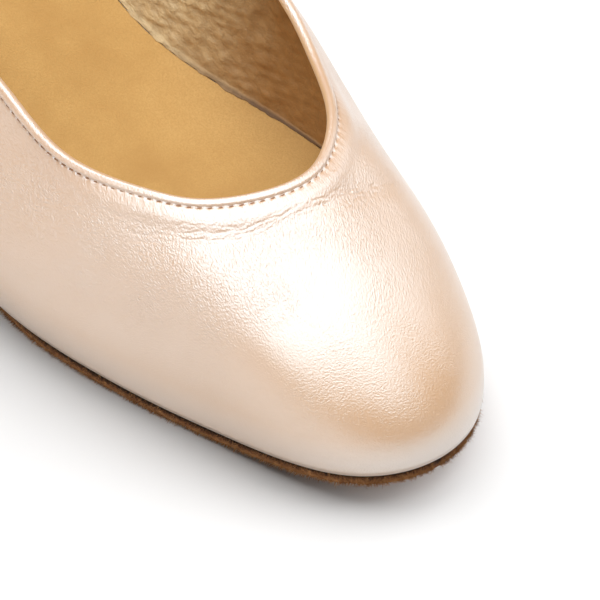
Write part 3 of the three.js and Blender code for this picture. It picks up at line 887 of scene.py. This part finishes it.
def makeHeel():
    seat = seatOutline()
    base = heel["topPiece"] + heel["seam"]
    rings = []
    for down in np.linspace(0, 1, heel["levels"]):
        plan = heelRing(seat, *(easedColumn(down, c) for c in (1, 2, 3)))
        z = (featherHeight(seat[:, 0]) - heel["seam"]) * (1 - down) + base * down
        rings.append(np.column_stack([plan, z]))
    rings = np.stack(rings)
    piece = addMesh("heelCover", rings, cappedFaces(len(rings), len(seat)))
    sharpenEdges(piece, 60)
    piece.data.materials.append(pearlLeather("pearlLeatherHeel", False))
    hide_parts("heel")
    rings = []
    foot = heelSections[-1]
    for z, shrink in heel["topPieceRings"]:
        plan = heelRing(seat, foot[1] - shrink, foot[2] + shrink, foot[3] - 2 * shrink)
        rings.append(np.column_stack([plan, np.full(len(plan), z)]))
    rings = np.stack(rings)
    piece = addMesh("heelTopPiece", rings, cappedFaces(len(rings), len(seat)))
    sharpenEdges(piece, 40)
    piece.data.materials.append(suedeMaterial("topPieceRubber", topPieceRubber))
    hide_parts("heel_top_piece")


makeHeel()
print("heel done")

# Floor, light and camera
studio = dict(floorTone=0.82, floorReach=4.0, floorRoughness=0.7, floorGloss=0.2, world=0.08,
              aim=(0.07, 0, 0), skySpread=56.0, boxTint=(0.97, 0.985, 1.0))
skyLights = [  # broad even light on the floor alone: where it comes from, and how strong
    dict(name="floorInnerLight", place=(0.12, 0.7, 0.8), power=2.3),
    dict(name="floorHeelLight", place=(-0.5, 0.0, 0.85), power=1.8),
    dict(name="floorToeLight", place=(0.9, 0.7, 0.4), power=2.5),
]
softboxes = [  # light on the shoe alone: place, width and height, watts
    dict(name="overheadSoftbox", place=(0.19, -0.05, 1.0), size=(0.78, 0.86), power=6.0),
    dict(name="innerSoftbox", place=(0.12, 0.6, 0.85), size=(0.6, 0.6), power=2.7),
    dict(name="innerLowSoftbox", place=(0.12, 0.95, 0.5), size=(0.6, 0.5), power=1.3),
    dict(name="outerSoftbox", place=(0.1, -0.65, 0.8), size=(0.6, 0.6), power=3.8),
    dict(name="outerLowSoftbox", place=(0.0, -0.95, 0.45), size=(0.7, 0.4), power=0.5),
    dict(name="heelSoftbox", place=(-0.5, 0.0, 0.85), size=(0.6, 0.6), power=4.6),
    dict(name="lowFill", place=(0.45, -1.0, 0.08), size=(1.5, 0.14), power=0.5),
    dict(name="toeSoftbox", place=(0.75, 0.0, 0.8), size=(0.6, 0.6), power=1.3),
]


def makeFloor():
    r = studio["floorReach"]
    mesh = bpy.data.meshes.new("studioFloor")
    mesh.from_pydata([(-r, -r, 0), (r, -r, 0), (r, r, 0), (-r, r, 0)], [], [(0, 1, 2, 3)])
    floor = bpy.data.objects.new("studioFloor", mesh)
    bpy.context.scene.collection.objects.link(floor)
    tone = studio["floorTone"]
    look = {"Base Color": (tone, tone, tone, 1), "Roughness": studio["floorRoughness"],
            "Specular IOR Level": studio["floorGloss"]}
    mesh.materials.append(finishMaterial(newMaterial("paleFloor"), **look))
    lit = {}
    for name, state in (("floor", "INCLUDE"), ("shoe", "EXCLUDE")):  # which lights reach the floor
        lit[name] = bpy.data.collections.new(name + "Lit")
        lit[name].objects.link(floor)
        lit[name].collection_objects[0].light_linking.link_state = state
    return lit


def addLight(kind, given, lit):
    light = bpy.data.lights.new(given["name"], kind)
    light.energy = given["power"]
    lamp = bpy.data.objects.new(given["name"], light)
    lamp.location = given["place"]
    lamp.rotation_euler = (Vector(studio["aim"]) - Vector(given["place"])).to_track_quat("-Z", "Y").to_euler()
    lamp.light_linking.receiver_collection = lit
    bpy.context.scene.collection.objects.link(lamp)
    return light


def addLights(lit):
    for box in softboxes:
        light = addLight("AREA", box, lit["shoe"])
        light.color = studio["boxTint"]
        light.shape = "RECTANGLE"
        light.size, light.size_y = box["size"]
    for sky in skyLights:
        light = addLight("SUN", sky, lit["floor"])
        light.angle = math.radians(studio["skySpread"])


photoView = dict(azimuth=53.1, elevation=44.86, distance=0.9578, target=(0.07398, -0.00092, 0.02),
                 lens=281.0, sensor=36.0, clipStart=0.01)


def makeCamera():
    az, el = math.radians(photoView["azimuth"]), math.radians(photoView["elevation"])
    back = Vector((math.sin(az) * math.cos(el), -math.cos(az) * math.cos(el), math.sin(el)))
    camera = bpy.data.objects.new("photoCamera", bpy.data.cameras.new("photoCamera"))
    camera.data.lens = photoView["lens"]
    camera.data.sensor_width = photoView["sensor"]
    camera.data.clip_start = photoView["clipStart"]
    camera.location = Vector(photoView["target"]) + back * photoView["distance"]
    camera.rotation_euler = back.to_track_quat("Z", "Y").to_euler()
    bpy.context.scene.collection.objects.link(camera)
    bpy.context.scene.camera = camera


addLights(makeFloor())
makeCamera()
world = bpy.data.worlds.new("studioWorld")
world.use_nodes = True
backdrop = world.node_tree.nodes["Background"]
backdrop.inputs[0].default_value = (1, 1, 1, 1)
backdrop.inputs[1].default_value = studio["world"]
bpy.context.scene.world = world
bpy.context.scene.view_settings.view_transform = "Standard"
print("studio done")
